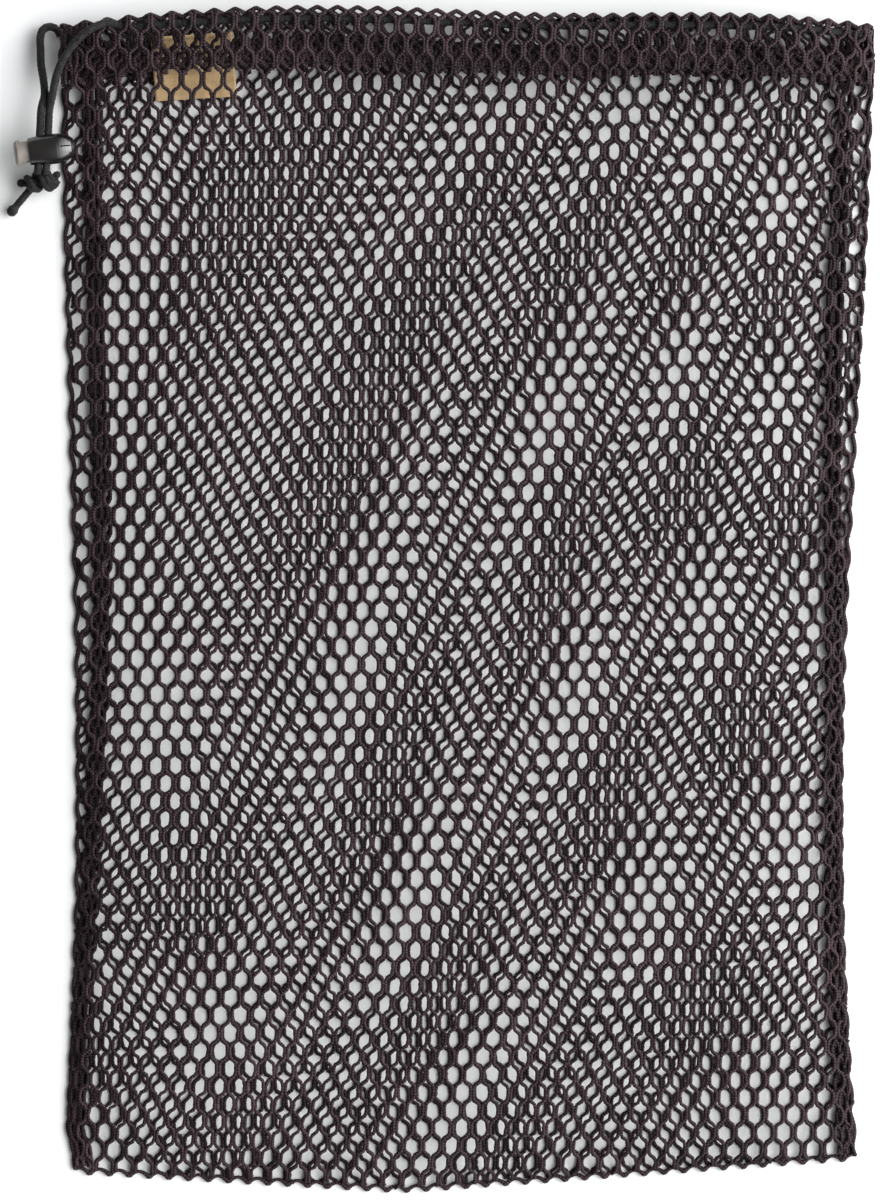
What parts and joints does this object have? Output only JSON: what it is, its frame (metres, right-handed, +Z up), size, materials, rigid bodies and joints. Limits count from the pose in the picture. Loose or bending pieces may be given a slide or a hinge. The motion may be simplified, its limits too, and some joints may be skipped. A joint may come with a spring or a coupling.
{
  "type": "mesh laundry bag",
  "caption": "Flat rectangular drawstring bag of open hexagonal net, with a hemmed casing round the mouth and a sprung cord lock on the drawcord at one top corner.",
  "frame": {"origin": "on the surface the bag lies on, under the middle of the bag's own box (without the drawcord's free end and the lock)", "axes": "+Y along the bag from the bottom fold to the mouth, +Z up from the back panel to the front panel, +X across to the bag's right"},
  "size_m": [0.3348, 0.457, 0.0173],
  "materials": {
    "black_net": "black knitted polyester net, open hexagon cells on a 7.7 mm pitch",
    "black_thread": "black polyester sewing thread",
    "braided_cord": "black round braid, slightly shiny",
    "label_tape": "plain tan woven tape, no print",
    "label_thread": "tan sewing thread",
    "lock_barrel": "dark grey moulded acetal, semi-gloss",
    "lock_button": "mid grey moulded acetal, semi-gloss",
    "spring_wire": "bright steel wire"
  },
  "bodies": {
    "bag": {"front_panel": "black_net", "front_panel_left_side": "black_net", "front_panel_right_side": "black_net", "front_panel_bottom": "black_net", "back_panel": "black_net", "bottom_fold": "black_net", "front_casing": "black_net", "back_casing": "black_net", "casing_right_end": "black_net", "front_hem_turn": "black_net", "back_hem_turn": "black_net", "left_seam_allowance": "black_net", "right_seam_allowance": "black_net", "left_seam_stitching": "black_thread", "right_seam_stitching": "black_thread", "front_hem_stitching": "black_thread", "back_hem_stitching": "black_thread", "care_label": "label_tape", "label_stitching": "label_thread", "drawcord_back_run": "braided_cord", "drawcord_side_turn": "braided_cord", "drawcord_front_run": "braided_cord", "drawcord_strand_a": "braided_cord", "drawcord_strand_b": "braided_cord", "drawcord_knot": "braided_cord", "drawcord_tail": "braided_cord", "drawcord_stub": "braided_cord"},
    "lock": {"lock_body": "lock_barrel", "lock_spring": "spring_wire"},
    "plunger": {"lock_plunger": "lock_button"}
  },
  "joints": [
    {"name": "lock_slide", "type": "slide", "parent": "bag", "child": "lock", "axis": [0.0505, 0.9984, -0.0266], "range_m": [0, 0.008]},
    {"name": "plunger_press", "type": "slide", "parent": "lock", "child": "plunger", "axis": [0.9806, 0.1378, -0.1392], "range_m": [0, 0.003], "stiffness_N_per_m": 900, "springref_m": -0.002, "deforming": ["lock_spring"]}
  ]
}
